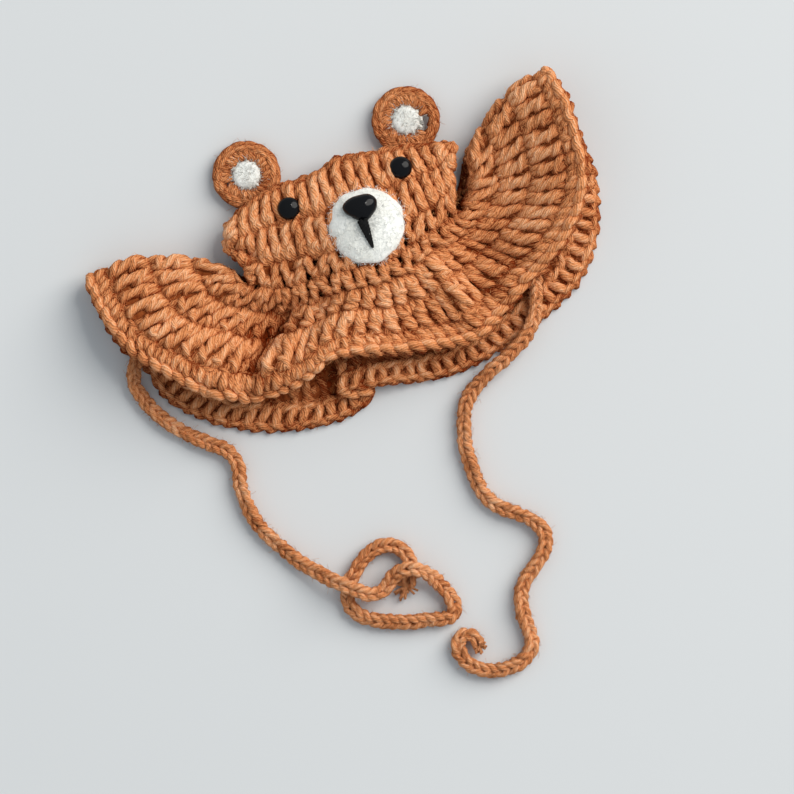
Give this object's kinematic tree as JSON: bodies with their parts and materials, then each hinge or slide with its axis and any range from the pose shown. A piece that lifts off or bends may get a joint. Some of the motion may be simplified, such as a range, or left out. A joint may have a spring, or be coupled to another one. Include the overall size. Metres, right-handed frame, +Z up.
{
  "type": "crocheted bear hat with ears, ruffled brim and ties, for a small pet or a doll-sized head",
  "caption": "Crocheted animal-face hat lying on its back: flattened hollow crown with side ear openings, wide ruffled brim, round ears, muzzle and ties.",
  "frame": {"origin": "a point of the flat back of the crown, on the surface that the hat lies on, under the middle of the face", "axes": "+X from the wearer's left ear on the picture's left to the right ear, +Y from the open rim to the top of the crown, +Z up from the table to the face"},
  "size_m": [0.2296, 0.2589, 0.0339],
  "materials": {
    "caramel_yarn": "soft crocheted acrylic yarn, matt with a faint sheen",
    "cream_yarn": "soft crocheted cream yarn",
    "cream_felt": "brushed cream wool round",
    "black_plastic": "glossy moulded safety eye and nose",
    "black_thread": "matt black yarn stitch"
  },
  "bodies": {
    "root": {"crown": "caramel_yarn", "brim": "caramel_yarn", "ear_left_rim": "caramel_yarn", "ear_left_centre": "cream_yarn", "ear_right_rim": "caramel_yarn", "ear_right_centre": "cream_yarn", "muzzle": "cream_felt", "nose": "black_plastic", "mouth_stitch": "black_thread", "eye_left": "black_plastic", "eye_right": "black_plastic", "tie_left": "caramel_yarn", "tie_right": "caramel_yarn"}
  },
  "joints": []
}
